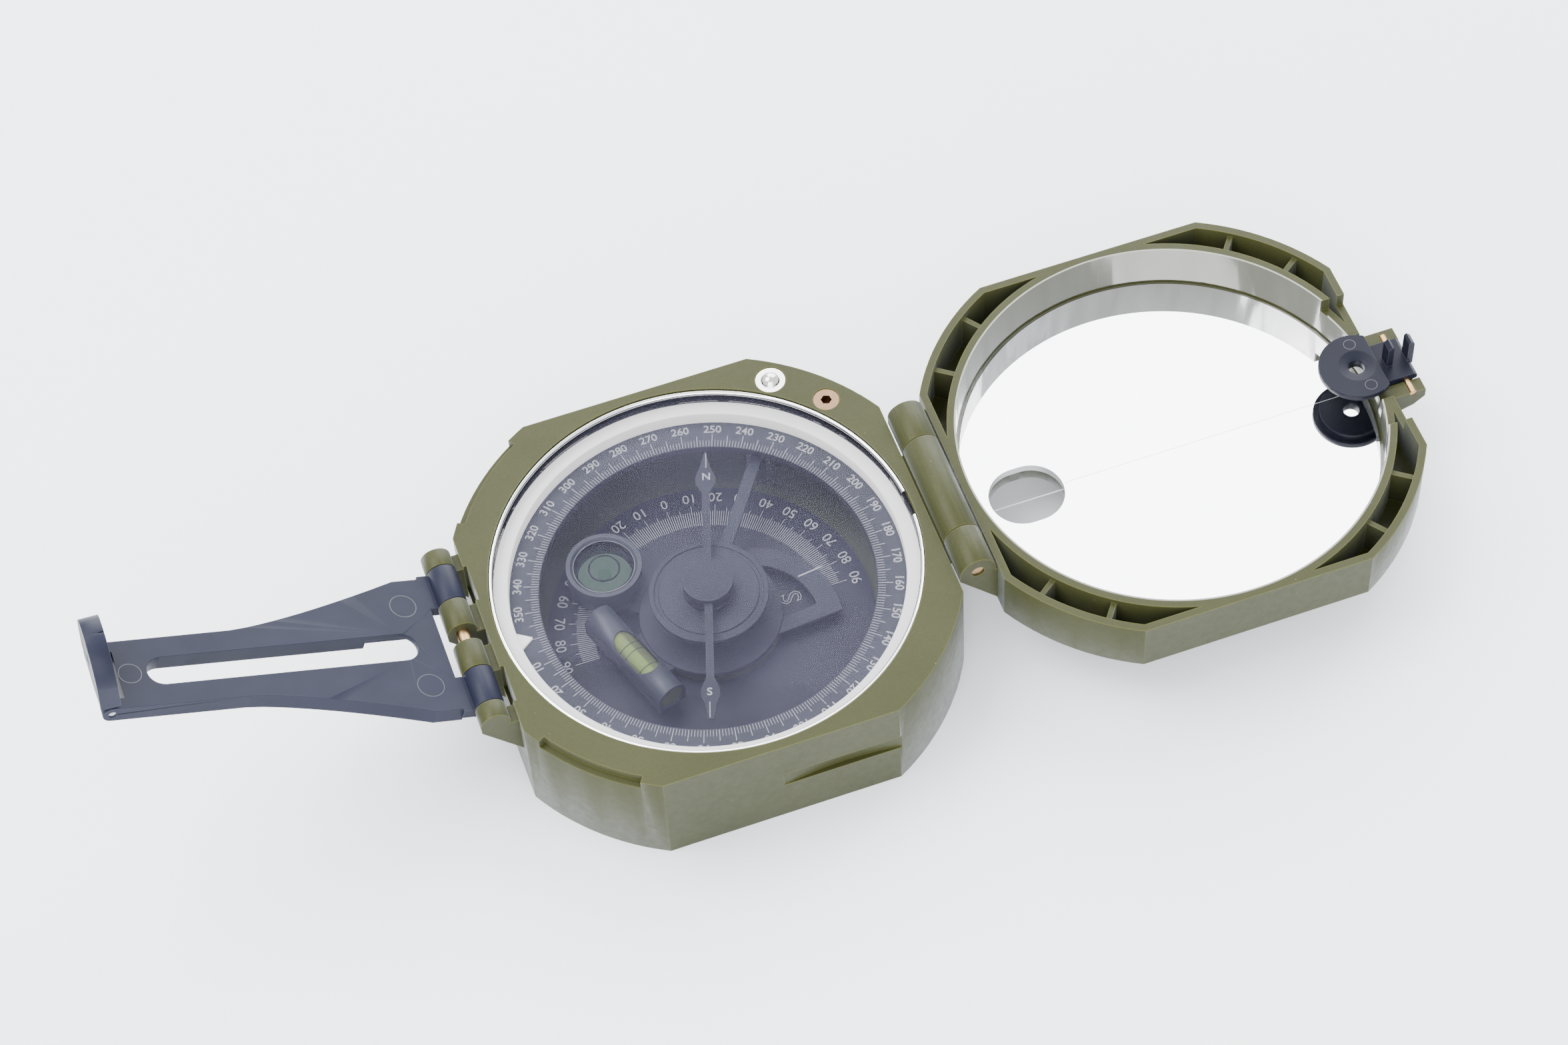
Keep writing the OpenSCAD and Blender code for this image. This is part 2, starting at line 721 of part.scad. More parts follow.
module clinometer_bracket() {
    color("dimgray") difference() {
        union() {
            translate([0, 0, bracket_z + 0.3]) cylinder(h = hub_top - bracket_z - 0.3, r = 5);
            translate([0, 0, bracket_z]) cylinder(h = bracket_t + 0.3, r = boss_d / 2 + 0.5);
            rotate([0, 0, index_angle]) translate([0, 0, bracket_z + 0.12]) index_frame();
            rotate([0, 0, index_angle + round_level_turn]) translate([6, -4, bracket_z + 0.2])
                cube([round_level_r - 6, 8, bracket_t - 0.2]);
            rotate([0, 0, index_angle + tube_level_turn]) translate([6, -4.5, bracket_z + 0.2])
                cube([tube_level_r + tube_level_w / 2 - 6.5, 9, bracket_t - 0.2]);
        }
        cylinder(h = 30, r = shaft_d / 2 + seat);
    }
}

// Plate whose window frames the scale and whose rim carries the index line
module index_frame() {
    linear_extrude(bracket_t - 0.2) difference() {
        intersection() {
            translate([5, -5]) circle(r = 15.5);
            polygon([[4, 2], [12, 13], [26, 13], [26, -9.6], [4, -8.6]]);
        }
        intersection() {
            translate([5, -4.6]) circle(r = 11.6);
            polygon([[8.5, 1], [12.5, 6.4], [20, 6.4], [20, -6.2], [8.5, -6.2]]);
        }
    }
}

module clinometer_shaft() {
    color("silver") difference() {
        union() {
            translate([0, 0, 1.1]) cylinder(h = hub_top - 1.1, r = shaft_d / 2);
            translate([0, 0, boss_top + 0.05]) cylinder(h = bracket_z - boss_top - 0.07, r = shaft_d / 2 + 1);
        }
        cylinder(h = 4, r = 0.7);
        translate([0, 0, disc_z - 2.2]) cylinder(h = 3, r = post_r + seat);
    }
}

module shaft_bushing() {
    color("goldenrod") translate([0, 0, lever_recess_t + 0.02])
        tube(shaft_d / 2 + 1.2, shaft_d / 2 + play, boss_top - lever_recess_t - 0.04);
}

module friction_washer() {
    color("goldenrod") translate([0, 0, lever_recess_t - 0.3])
        tube(shaft_d / 2 + 1.6, shaft_d / 2 + seat, 0.25);
}

module clinometer_lever() {
    color("black") translate([0, 0, 0.5]) difference() {
        union() {
            cylinder(h = lever_recess_t - 0.85, r = 5.5);
            rotate([0, 0, index_angle]) stadium(lever_recess_d - 3, 6, lever_recess_t - 0.85);
        }
        translate([0, 0, 0.6]) cylinder(h = 5, r = shaft_d / 2 + seat);
        translate([0, 0, -1]) cylinder(h = 5, r = 0.75);
        translate([0, 0, -1]) cylinder(h = 1.3, r = 1.75);
    }
}

module lever_screw() {
    color("silver") difference() {
        union() {
            cylinder(h = 0.78, r = 1.65);
            translate([0, 0, 0.5]) cylinder(h = 3.2, r = 0.68);
        }
        for (s = [-1, 1]) translate([s * 1.05, 0, -0.5]) cylinder(h = 0.9, r = 0.25);
    }
}

// Places its children on the bracket where the tube level lies
module at_tube_level() {
    rotate([0, 0, index_angle + tube_level_turn]) translate([tube_level_r, 0, tube_axis_z]) children();
}

module tube_level_case() {
    r = tube_level_w / 2;
    color("slategray") at_tube_level() difference() {
        union() {
            along_y(r, -tube_level_l / 2, tube_level_l / 2);
            translate([-r + 0.04, -tube_level_l / 2, bracket_top - tube_axis_z])
                cube([2 * r - 0.08, tube_level_l, tube_axis_z - bracket_top]);
        }
        along_y(tube_vial_r + play, -tube_level_l / 2 + 1.6, tube_level_l / 2 + 1);
        translate([-4, -tube_level_l, bracket_top - tube_axis_z - 5]) cube([8, 2 * tube_level_l, 5]);
        translate([0, 0.6, 0.5]) rotate([0, 0, 90]) stadium(tube_window_l, tube_window_w, 4);
    }
}

module tube_level_vial() {
    color("honeydew", 0.5) at_tube_level() difference() {
        along_y(tube_vial_r, -tube_level_l / 2 + 1.7, tube_level_l / 2 - 0.4);
        along_y(tube_liquid_r + seat, -tube_level_l / 2 + 2.4, tube_level_l / 2 - 1.6);
    }
}

module tube_level_liquid() {
    color("yellowgreen", 0.6) at_tube_level() difference() {
        along_y(tube_liquid_r, -tube_level_l / 2 + 2.42, tube_level_l / 2 - 1.62);
        translate([0, tube_bubble_at, tube_liquid_r - tube_bubble_r - 0.12]) {
            along_y(tube_bubble_r, -tube_bubble_half, tube_bubble_half);
            for (s = [-1, 1]) translate([0, s * tube_bubble_half, 0]) sphere(r = tube_bubble_r);
        }
    }
}

module at_round_level() {
    rotate([0, 0, index_angle + round_level_turn]) translate([round_level_r, 0, bracket_top]) children();
}

module round_level_cup() {
    color("slategray") at_round_level() difference() {
        cylinder(h = cup_h, d = round_level_d);
        translate([0, 0, 0.8]) cylinder(h = 5, r = round_level_d / 2 - 1.2);
        translate([0, 0, cup_h - 0.4])
            cylinder(h = 0.5, r1 = round_level_d / 2 - 1.2, r2 = round_level_d / 2 - 0.6);
    }
}

module round_level_vial() {
    color("honeydew", 0.5) at_round_level() difference() {
        translate([0, 0, 0.82]) cylinder(h = cup_h - 1.2, r = round_vial_r);
        translate([0, 0, 1.4]) cylinder(h = cup_h - 2.4, r = round_vial_r - 0.5);
    }
}

module round_level_liquid() {
    color("palegreen", 0.6) at_round_level() difference() {
        translate([0, 0, 1.42]) cylinder(h = cup_h - 2.44, r = round_vial_r - 0.5 - seat);
        translate([round_bubble_at[0], round_bubble_at[1], cup_h - 1.35])
            cylinder(h = 0.25, r = round_bubble_r);
    }
}

// ---- lid ----

module lid_shell() {
    color("darkolivegreen") difference() {
        union() {
            translate([lid_x, 0, lid_floor_z]) outline(0, lid_wall_h);
            translate([lid_x, 0, lid_back_z]) bevelled_outline(lid_back_t, lid_back_t);
            lid_knuckles();
            sight_ears();
        }
        translate([lid_x, 0, 0]) lid_hollows();
        translate([window_x, 0, lid_back_z - 1]) stadium(window_l, window_w, lid_wall_h);
        translate([lid_axis_x, 0, hinge_z])
            along_y(pin_d / 2 + seat, -lid_hinge_half - 1, lid_hinge_half - 0.7);
        translate([sight_pin_x, 0, sight_pin_z])
            along_y(sight_pin_r + seat, -ear_out - 1, ear_out - 0.8);
    }
}

module lid_hollows() {
    translate([0, 0, mirror_z - mirror_groove]) cylinder(h = mirror_depth + 2, r = lid_bore_r);
    translate([0, 0, mirror_z - mirror_t - seat]) cylinder(h = mirror_t + 2, r = mirror_r + play);
    translate([flat - 6, -notch_half, ear_top]) cube([12, 2 * notch_half, notch_depth + 2]);
    translate([flat - short_reach - short_disc_d / 2 - 0.5, -short_disc_d / 2 - 0.5,
        short_top - short_step_t - gap])
        cube([short_disc_d + 7, short_disc_d + 1, 6]);
    difference() {
        translate([0, 0, rim_z - lid_pocket_depth]) outline(lid_skin, lid_pocket_depth + 2);
        translate([0, 0, rim_z - lid_pocket_depth - 1])
            cylinder(h = lid_pocket_depth + 4, r = lid_ring_r);
        for (a = rib_angles) rotate([0, 0, a])
            translate([lid_bore_r, -lid_rib_t / 2, rim_z - lid_pocket_depth - 1])
                cube([10, lid_rib_t, lid_pocket_depth + 0.1]);
    }
}

module lid_knuckles() {
    translate([lid_axis_x, 0, hinge_z]) for (s = [-1, 1]) {
        y0 = s > 0 ? lid_knuckle + gap / 2 : -lid_hinge_half;
        y1 = s > 0 ? lid_hinge_half : -lid_knuckle - gap / 2;
        along_y(lid_barrel_d / 2, y0, y1);
        knuckle_web(lid_barrel_d / 2, lid_axis_off + web_sink, 1, y0, y1, web_drop);
    }
}

// Two ears at the far end that carry the short sight
module sight_ears() {
    x0 = lid_x + flat - 0.6;
    x1 = sight_pin_x + 2.3;
    for (s = [-1, 1]) {
        y0 = s > 0 ? ear_in : -ear_out;
        prism_y([[x0, ear_top], [x1 - 1.2, ear_top], [x1, ear_top - 1.2], [x1, ear_top - 3],
            [x1 - 2, ear_top - 4.6], [x0, ear_top - 6]], y0, y0 + ear_out - ear_in);
    }
}

module lid_mirror() {
    color("silver") difference() {
        translate([lid_x, 0, mirror_z - mirror_t]) cylinder(h = mirror_t, r = mirror_r);
        translate([window_x, 0, 0]) stadium(window_l, window_w, 30);
    }
}

// Fine white wire across the window, pressed into the floor
module sight_line() {
    color("white") translate([window_x, 0, mirror_z - mirror_t - 0.4]) rotate([0, 90, 0])
        translate([0, 0, -window_l / 2 + seat]) cylinder(h = window_l - 2 * seat, r = 0.12, $fn = 16);
}

module lid_hinge_pin() {
    color("goldenrod") translate([lid_axis_x, 0, hinge_z])
        along_y(pin_d / 2, -lid_hinge_half + 0.3, lid_hinge_half - 1);
}

module short_sight_pin() {
    color("goldenrod") translate([sight_pin_x, 0, sight_pin_z])
        along_y(sight_pin_r, -ear_out + 0.1, ear_out - 1);
}

module short_sight() {
    disc_r = short_disc_d / 2;
    body_x = lid_x + flat + 0.35;
    disc_end = sight_pin_x - arm_barrel_d / 2 - 1.4;
    y = ear_in - 0.3;
    color("black") difference() {
        union() {
            intersection() {
                union() {
                    translate([short_x, 0, short_top - short_disc_t])
                        cylinder(h = short_disc_t, r = disc_r);
                    translate([short_x, 0, short_top - short_step_t])
                        cylinder(h = short_step_t - 1, r = disc_r - 1);
                }
                translate([disc_end - 40, -20, 0]) cube([40, 40, 40]);
            }
            translate([sight_pin_x, 0, sight_pin_z]) along_y(ear_top - sight_pin_z - 0.05, -y, y);
            prism_y([[disc_end - 1, short_top - short_step_t], [body_x, short_top - short_step_t],
                [body_x, sight_pin_z - 0.6], [sight_pin_x, sight_pin_z - 0.6], [sight_pin_x + 2, sight_pin_z],
                [sight_pin_x + 2, ear_top - 0.6], [sight_pin_x + 1.4, ear_top],
                [disc_end, ear_top], [disc_end - 1, short_top - 0.4]], -y, y);
            fork();
        }
        translate([short_x, 0, short_top - 4]) cylinder(h = 8, d = peep_d);
        translate([short_x, 0, short_top - 0.4]) cylinder(h = 0.5, r1 = peep_d / 2, r2 = 3.6);
        translate([sight_pin_x, 0, sight_pin_z]) along_y(sight_pin_r + play, -8, 8);
    }
}

// Two prongs that close over the arm hinge's pin and hold the lid shut
module fork() {
    top = hinge_z + fork_h;
    for (s = [-1, 1]) translate([sight_pin_x, 0, 0])
        prism_y([[s * fork_half, ear_top - 1], [s * (fork_half + fork_prong), ear_top - 1],
            [s * (fork_half + fork_prong), top - 0.7], [s * (fork_half + 0.4), top],
            [s * fork_half, top - 0.4]], -fork_y, fork_y);
}

// ---- sight arm ----

// Places its children in the arm's own frame: X away from the hinge is negative, Z is out of its face
module at_arm() {
    translate([arm_axis_x, 0, hinge_z]) rotate([0, arm_raise, 0]) children();
}

// Half width of the arm at distance s from its hinge
function flare(s) = arm_tip_half
    + (arm_root_half - arm_tip_half) * pow(max(flare_end - s, 0) / (flare_end - flare_start), 1.35);

module arm_outline() {
    steps = 12;
    side = concat([[-arm_edge, arm_root_half]],
        [for (i = [0 : steps]) let (s = flare_start + (flare_end - flare_start) * i / steps) [-s, flare(s)]],
        [[-arm_l, arm_tip_half - 0.1]]);
    polygon(concat(side, [for (i = [len(side) - 1 : -1 : 0]) [side[i][0], -side[i][1]]]));
}

module arm_slot(l0, l1, w, h) {
    translate([-(l0 + l1) / 2, 0, 0]) stadium(l1 - l0, w, h);
}

module sight_arm() {
    color("dimgray") at_arm() difference() {
        union() {
            translate([0, 0, arm_top - arm_t]) linear_extrude(arm_t) arm_outline();
            for (s = [-1, 1]) {
                y0 = s > 0 ? arm_knuckles[1] + 2 * knuckle_gap : knuckle_gap - arm_knuckles[2];
                y1 = s > 0 ? arm_knuckles[2] - knuckle_gap : -arm_knuckles[1] - 2 * knuckle_gap;
                along_y(arm_barrel_d / 2, y0, y1);
                translate([-arm_edge - 0.5, y0, arm_top - arm_t + 1.2])
                    cube([arm_edge + 0.5, y1 - y0, arm_t - 1.2]);
            }
            for (s = [-1, 1]) translate([-arm_l, 0, arm_mid])
                along_y(arm_t / 2, s > 0 ? cheek_half : -arm_tip_half + 0.1,
                    s > 0 ? arm_tip_half - 0.1 : -cheek_half);
        }
        translate([0, 0, arm_top - arm_t - 1]) arm_slot(slot_near, slot_far, arm_slot_w, arm_t + 2);
        translate([-slot_near - 7.9, -arm_slot_w / 2 - 1, arm_top - arm_t - 1])
            cube([9, arm_slot_w + 2, arm_t - 0.1]);
        along_y(pin_d / 2 + play, -20, 20);
        translate([-arm_l, 0, arm_mid]) along_y(tip_pin_r + seat, -10, 10);
        translate([-arm_l - 3, -cheek_half, arm_top - arm_t - 1]) cube([5.2, 2 * cheek_half, arm_t + 2]);
    }
}

module arm_hinge_pin() {
    color("goldenrod") translate([arm_axis_x, 0, hinge_z]) along_y(pin_d / 2, -arm_pin_half, arm_pin_half);
}

module tip_pin() {
    color("silver") at_arm() translate([-arm_l, 0, arm_mid])
        along_y(tip_pin_r, -arm_tip_half + 0.3, arm_tip_half - 0.3);
}

// Round-topped tab on the arm's tip with a peep hole and a sighting notch
module tip_sight() {
    w = arm_tip_half - 0.1;
    t = arm_t + 0.1;
    color("dimgray") at_arm() translate([-arm_l, 0, arm_mid]) rotate([0, tip_fold - 90, 0]) difference() {
        union() {
            translate([t / 2, 0, 0]) rotate([0, -90, 0]) linear_extrude(t) {
                translate([1.95, -w]) square([tip_h - w - 1.95, 2 * w]);
                translate([tip_h - w, 0]) circle(r = w);
            }
            along_y(1.5, -cheek_half + 0.15, cheek_half - 0.15);
            translate([-1.3, -cheek_half + 0.15, 0]) cube([2.6, 2 * cheek_half - 0.3, 3]);
        }
        translate([-5, 0, tip_h - w]) rotate([0, 90, 0]) cylinder(h = 10, r = tip_peep_r);
        along_y(tip_pin_r + play, -10, 10);
        translate([t / 2 - 1.6, 0, tip_h - 0.7]) rotate([0, 20, 0]) linear_extrude(4)
            polygon([[0, 0], [5, -0.8], [5, 0.8]]);
    }
}

// ---- the parts by name ----

case();
base_cover();
cover_seal();
base_screws();
dial_plate();
dial_screws();
ring_carrier();
index_ring();
glass_gasket();
cover_glass();
retaining_ring();
shaft_bushing();
fulcrum_bracket();
fulcrum_pin();
arm_hinge_pin();
azimuth_ring();
adjuster_screw();
adjuster_pinion();
lock_button();
button_spring();
lift_lever();
lift_disc();
needle_bar();
needle_cap();
needle_jewel();
pivot_post();
clinometer_bracket();
clinometer_shaft();
friction_washer();
clinometer_lever();
lever_screw();
tube_level_case();
tube_level_vial();
tube_level_liquid();
round_level_cup();
round_level_vial();
round_level_liquid();
lid_shell();
lid_mirror();
sight_line();
lid_hinge_pin();
short_sight_pin();
short_sight();
sight_arm();
tip_pin();
tip_sight();
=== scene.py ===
"""Looks of the sighting compass: materials, printed scales, soft edges, studio light and camera."""
import math

import bmesh
import bpy
from mathutils import Matrix, Vector


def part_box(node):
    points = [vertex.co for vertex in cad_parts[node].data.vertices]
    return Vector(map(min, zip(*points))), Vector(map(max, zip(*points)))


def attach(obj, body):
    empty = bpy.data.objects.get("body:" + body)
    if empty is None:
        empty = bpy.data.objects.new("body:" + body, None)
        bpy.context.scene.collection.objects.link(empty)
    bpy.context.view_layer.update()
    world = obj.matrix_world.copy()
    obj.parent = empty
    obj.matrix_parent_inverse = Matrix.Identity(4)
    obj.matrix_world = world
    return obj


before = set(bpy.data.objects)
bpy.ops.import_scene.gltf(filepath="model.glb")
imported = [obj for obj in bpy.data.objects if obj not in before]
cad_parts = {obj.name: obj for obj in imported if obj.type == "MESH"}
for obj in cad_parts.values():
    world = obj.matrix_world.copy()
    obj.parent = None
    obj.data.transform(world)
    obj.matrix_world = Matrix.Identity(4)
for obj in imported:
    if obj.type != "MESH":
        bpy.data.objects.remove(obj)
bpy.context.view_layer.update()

MM = 0.001
LIFT = 0.02 * MM      # how far print stands above what it is printed on

# Places on the clinometer, as angles from its index line in degrees
ROUND_LEVEL_TURN = 132.5
TUBE_LEVEL_TURN = 192.5

# The sight arm as it stands at rest
ARM_RAISE = 20.5
ARM_FACE = -0.25 * MM

# Graduated ring: where its marks start, and the place and height of its numbers
RING_MARKS_FROM = 28.12 * MM
RING_NUMBERS_AT = 31.55 * MM
RING_NUMBER_SIZE = 2.05 * MM

# Clinometer's scale on the plate under it
SCALE_MARKS_FROM = 19.8 * MM
SCALE_NUMBERS_AT = 25.65 * MM
SCALE_NUMBER_SIZE = 2.5 * MM
PLATE_LETTERS_AT = 14.2 * MM
PLATE_LETTER_SIZE = 5.0 * MM

# Needle, from its pivot to the end of a tip line, and the letters' place back from there
NEEDLE_HALF = 26.5 * MM
NEEDLE_LETTER_BACK = 5.2 * MM

# Index line on the clinometer's frame
INDEX_FROM = 16.2 * MM
INDEX_TO = 20.6 * MM

# Black circle of the round level, and the tube level's lines each side of the bubble's place
LEVEL_CIRCLE = (2.42 * MM, 2.70 * MM)
TUBE_BUBBLE_AT = 2.0 * MM
TUBE_LINES_AT = (1.85 * MM, 3.35 * MM)


# ---------------------------------------------------------------- node helpers

class Shader:
    """A material's node tree with short names for what the materials below use."""

    def __init__(self, name):
        self.mat = bpy.data.materials.new(name)
        self.mat.use_nodes = True
        self.nodes = self.mat.node_tree.nodes
        self.links = self.mat.node_tree.links
        self.bsdf = self.nodes["Principled BSDF"]
        self.out = self.nodes["Material Output"]
        self.coords = self.nodes.new("ShaderNodeTexCoord")

    def node(self, kind, **values):
        made = self.nodes.new(kind)
        for key, value in values.items():
            setattr(made, key, value)
        return made

    def link(self, source, target):
        self.links.new(source, target)

    def set(self, **values):
        for key, value in values.items():
            self.bsdf.inputs[key.replace("_", " ")].default_value = value

    def noise(self, scale, detail=2.0, rough=0.5, stretch=None):
        made = self.node("ShaderNodeTexNoise")
        made.inputs["Scale"].default_value = scale
        made.inputs["Detail"].default_value = detail
        made.inputs["Roughness"].default_value = rough
        source = self.coords.outputs["Object"]
        if stretch:
            mapping = self.node("ShaderNodeMapping")
            mapping.inputs["Scale"].default_value = stretch
            self.link(source, mapping.inputs["Vector"])
            source = mapping.outputs["Vector"]
        self.link(source, made.inputs["Vector"])
        return made.outputs["Fac"]

    def cells(self, scale):
        made = self.node("ShaderNodeTexVoronoi", feature="F1")
        made.inputs["Scale"].default_value = scale
        self.link(self.coords.outputs["Object"], made.inputs["Vector"])
        return made.outputs["Distance"]

    def ramp(self, factor, stops):
        made = self.node("ShaderNodeValToRGB")
        elements = made.color_ramp.elements
        while len(elements) < len(stops):
            elements.new(0.5)
        for element, (place, colour) in zip(elements, stops):
            element.position = place
            element.color = (*colour, 1) if len(colour) == 3 else colour
        self.link(factor, made.inputs["Fac"])
        return made.outputs["Color"]

    def span(self, factor, low, high, start=0.3, stop=0.7):
        made = self.node("ShaderNodeMapRange")
        made.inputs["From Min"].default_value = start
        made.inputs["From Max"].default_value = stop
        made.inputs["To Min"].default_value = low
        made.inputs["To Max"].default_value = high
        self.link(factor, made.inputs["Value"])
        return made.outputs["Result"]

    def mix(self, factor, a, b, blend="MIX"):
        made = self.node("ShaderNodeMix", data_type="RGBA", blend_type=blend)
        for socket, value in ((made.inputs["Factor"], factor), (made.inputs[6], a), (made.inputs[7], b)):
            if isinstance(value, (float, int)):
                socket.default_value = value
            elif isinstance(value, tuple):
                socket.default_value = (*value, 1)
            else:
                self.link(value, socket)
        return made.outputs[2]

    def bump(self, height, distance, strength=1.0, normal=None):
        made = self.node("ShaderNodeBump")
        made.inputs["Strength"].default_value = strength
        made.inputs["Distance"].default_value = distance
        self.link(height, made.inputs["Height"])
        if normal:
            self.link(normal, made.inputs["Normal"])
        return made.outputs["Normal"]

    def edges(self, radius, gain=6.0):
        """1 on edges and 0 on faces, from how far a rounded normal leans off the true one."""
        bevel = self.node("ShaderNodeBevel", samples=4)
        bevel.inputs["Radius"].default_value = radius
        geometry = self.node("ShaderNodeNewGeometry")
        dot = self.node("ShaderNodeVectorMath", operation="DOT_PRODUCT")
        self.link(bevel.outputs["Normal"], dot.inputs[0])
        self.link(geometry.outputs["Normal"], dot.inputs[1])
        made = self.node("ShaderNodeMapRange")
        made.inputs["From Min"].default_value = 1.0
        made.inputs["From Max"].default_value = 1.0 - 1.0 / gain
        self.link(dot.outputs["Value"], made.inputs["Value"])
        return made.outputs["Result"]

    def inside_cylinder(self, centre, radius):
        """1 within a radius of an upright axis and 0 outside it."""
        shift = self.node("ShaderNodeMapping")
        shift.inputs["Location"].default_value = (-centre[0], -centre[1], 0)
        shift.inputs["Scale"].default_value = (1, 1, 0)
        self.link(self.coords.outputs["Object"], shift.inputs["Vector"])
        length = self.node("ShaderNodeVectorMath", operation="LENGTH")
        self.link(shift.outputs["Vector"], length.inputs[0])
        made = self.node("ShaderNodeMath", operation="LESS_THAN")
        made.inputs[1].default_value = radius
        self.link(length.outputs["Value"], made.inputs[0])
        return made.outputs["Value"]

    def value_mix(self, factor, a, b):
        made = self.node("ShaderNodeMix", data_type="FLOAT")
        for socket, value in ((made.inputs["Factor"], factor), (made.inputs[2], a), (made.inputs[3], b)):
            self.link(value, socket)
        return made.outputs[0]

    def finish_with(self, color=None, rough=None, normal=None):
        for name, value in (("Base Color", color), ("Roughness", rough), ("Normal", normal)):
            if value is not None:
                self.link(value, self.bsdf.inputs[name])
        return self.mat


# ---------------------------------------------------------------- materials

def olive_plastic(name, deep, light, polished_bore=None):
    """Olive moulding compound. polished_bore is the centre and radius of a smooth round wall."""
    s = Shader(name)
    tone = s.ramp(s.noise(55, 3), [(0.3, deep), (0.7, light)])
    speck = s.ramp(s.noise(2600, 2), [(0.35, (0.86, 0.86, 0.86)), (0.65, (1.08, 1.08, 1.08))])
    tone = s.mix(0.55, tone, speck, "MULTIPLY")
    # Painted glow: the edges are tinted lighter and yellower, as if light shone through the thin plastic
    # there.
    painted_edge_glow = s.mix(s.span(s.edges(0.3 * MM, 5), 0, 0.8, 0, 1), tone, (0.085, 0.086, 0.014))
    dust = s.ramp(s.cells(260), [(0.010, (1, 1, 1)), (0.018, (0, 0, 0))])
    colour = s.mix(dust, painted_edge_glow, (0.22, 0.23, 0.18))
    rough = s.span(s.noise(700, 4), 0.36, 0.50)
    grain = s.bump(s.noise(3800, 3, 0.6), 0.020 * MM, 0.45)
    normal = s.bump(s.noise(900, 2), 0.02 * MM, 0.25, grain)
    s.set(Specular_IOR_Level=0.16, Sheen_Weight=0.15, Sheen_Roughness=0.42)
    s.bsdf.inputs["Sheen Tint"].default_value = (0.86, 0.93, 1.0, 1)
    if polished_bore:
        inside = s.inside_cylinder(*polished_bore)
        streaks = s.span(s.noise(160, 4, 0.6, (1.0, 1.0, 0.03)), 0.05, 0.30)
        rough = s.value_mix(inside, rough, streaks)
        s.link(s.span(inside, 0.16, 1.0, 0, 1), s.bsdf.inputs["Specular IOR Level"])
        s.link(s.span(inside, 0.0, 0.9, 0, 1), s.bsdf.inputs["Coat Weight"])
        s.set(Coat_Roughness=0.10)
    return s.finish_with(colour, rough, normal)


def dark_plastic(name, base, rough=(0.34, 0.5), edge_highlight=(0.08, 0.085, 0.10), grain=0.010, shine=0.5):
    s = Shader(name)
    s.set(Specular_IOR_Level=shine)
    darker, lighter = (tuple(c * share for c in base) for share in (0.86, 1.14))
    tone = s.ramp(s.noise(90, 3), [(0.3, darker), (0.7, lighter)])
    # Painted highlight: the edges are tinted lighter than the faces.
    colour = s.mix(s.span(s.edges(0.22 * MM, 4), 0, 0.55, 0, 1), tone, edge_highlight)
    roughness = s.span(s.noise(150, 3), *rough)
    normal = s.bump(s.noise(1400, 2), grain * MM, 0.3) if grain else None
    return s.finish_with(colour, roughness, normal)


def white_plastic():
    s = Shader("ivory_white_plastic")
    colour = s.ramp(s.noise(120, 3), [(0.3, (0.80, 0.80, 0.75)), (0.7, (0.87, 0.87, 0.84))])
    # Emission is painted light: a glow that makes the recessed ring brighter than the lamps light it.
    s.set(Subsurface_Weight=0.15, Coat_Weight=0.2, Emission_Strength=1.2)
    s.bsdf.inputs["Emission Color"].default_value = (1.0, 0.99, 0.94, 1)
    s.bsdf.inputs["Subsurface Radius"].default_value = (0.001, 0.001, 0.0008)
    s.bsdf.inputs["Subsurface Scale"].default_value = 1.0
    normal = s.bump(s.noise(500, 2), 0.004 * MM, 0.4)
    return s.finish_with(colour, s.span(s.noise(800, 2), 0.26, 0.40), normal)


def print_white():
    s = Shader("white_print")
    colour = s.ramp(s.noise(1500, 3), [(0.3, (0.40, 0.405, 0.41)), (0.7, (0.48, 0.48, 0.49))])
    # Emission is painted light: a faint glow on the print.
    s.set(Emission_Strength=0.12)
    s.bsdf.inputs["Emission Color"].default_value = (0.95, 0.96, 1.0, 1)
    return s.finish_with(colour, s.span(s.noise(900), 0.5, 0.7))


def turned_metal(name, base, rough, centre=(0, 0), rings=5200):
    """Metal turned on a lathe: fine rings around the piece's own axis."""
    s = Shader(name)
    shift = s.node("ShaderNodeMapping")
    shift.inputs["Location"].default_value = (-centre[0], -centre[1], 0)
    s.link(s.coords.outputs["Object"], shift.inputs["Vector"])
    wave = s.node("ShaderNodeTexWave", wave_type="RINGS", rings_direction="Z")
    wave.inputs["Scale"].default_value = rings
    wave.inputs["Distortion"].default_value = 1.5
    s.link(shift.outputs["Vector"], wave.inputs["Vector"])
    tone = s.ramp(s.noise(600, 4), [(0.3, tuple(c * 0.82 for c in base)), (0.7, base)])
    s.set(Metallic=1.0)
    normal = s.bump(wave.outputs["Fac"], 0.003 * MM, 0.35)
    return s.finish_with(tone, s.span(s.noise(1300, 3), rough[0], rough[1]), normal)


def polished(name, base, rough=0.06):
    s = Shader(name)
    tone = s.ramp(s.noise(300, 3), [(0.3, tuple(c * 0.94 for c in base)), (0.7, base)])
    s.set(Metallic=1.0)
    return s.finish_with(tone, s.span(s.noise(1400, 4), rough * 0.7, rough * 1.6),
                         s.bump(s.noise(260, 2), 0.004 * MM, 0.2))


